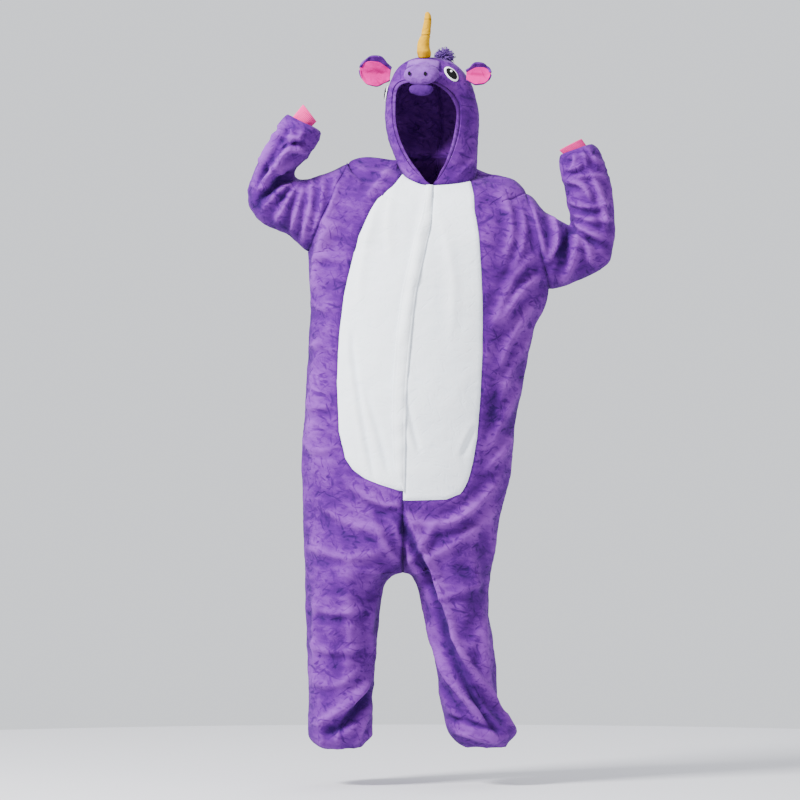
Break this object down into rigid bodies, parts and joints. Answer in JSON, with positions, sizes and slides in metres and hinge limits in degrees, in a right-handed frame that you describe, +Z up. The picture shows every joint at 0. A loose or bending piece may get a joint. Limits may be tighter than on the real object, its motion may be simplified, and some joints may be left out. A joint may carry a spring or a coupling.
{
  "type": "hooded unicorn onesie",
  "caption": "Loose hooded plush onesie held as worn with both arms raised: white belly with a front band, knit wrist and ankle cuffs, hood with horn, muzzle, ears and mane.",
  "frame": {"origin": "midway between the wearer's shoulders, where the shoulders carry the garment", "axes": "+Z up, +X to the wearer's left, -Y to the front"},
  "size_m": [0.866, 0.3169, 1.7302],
  "materials": {
    "purple_plush": "brushed plush flannel, violet, silvery nap",
    "lilac_plush": "brushed plush flannel, lavender",
    "white_plush": "brushed plush flannel, cool white",
    "pink_plush": "brushed plush flannel, hot pink",
    "pink_rib": "ribbed knit, matte",
    "gold_plush": "brushed plush, golden yellow",
    "black_felt": "felt, matte",
    "white_felt": "felt, matte",
    "mane_pile": "long shaggy pile, matte"
  },
  "bodies": {
    "root": {"front_left": "purple_plush", "front_right": "purple_plush", "back_left": "purple_plush", "back_right": "purple_plush", "sleeve_left": "purple_plush", "sleeve_right": "purple_plush", "hood_left": "purple_plush", "hood_right": "purple_plush", "belly_left": "white_plush", "belly_right": "white_plush", "wrist_cuff_left": "pink_rib", "wrist_cuff_right": "pink_rib", "ankle_cuff_left": "pink_rib", "ankle_cuff_right": "pink_rib", "hood_band_left": "lilac_plush", "hood_band_right": "lilac_plush", "ear_left": "purple_plush", "ear_right": "purple_plush", "ear_lining_left": "pink_plush", "ear_lining_right": "pink_plush", "eye_white_left": "white_felt", "eye_white_right": "white_felt", "eye_black_left": "black_felt", "eye_black_right": "black_felt", "eye_light_left": "white_felt", "eye_light_right": "white_felt", "nostril_left": "black_felt", "nostril_right": "black_felt", "placket": "white_plush", "bridge": "lilac_plush", "muzzle": "lilac_plush", "jaw": "purple_plush", "horn": "gold_plush", "mane_tuft_1": "mane_pile", "mane_tuft_2": "mane_pile", "mane_tuft_3": "mane_pile", "mane_tuft_4": "mane_pile", "mane_tuft_5": "mane_pile", "mane_tuft_6": "mane_pile"}
  },
  "joints": []
}
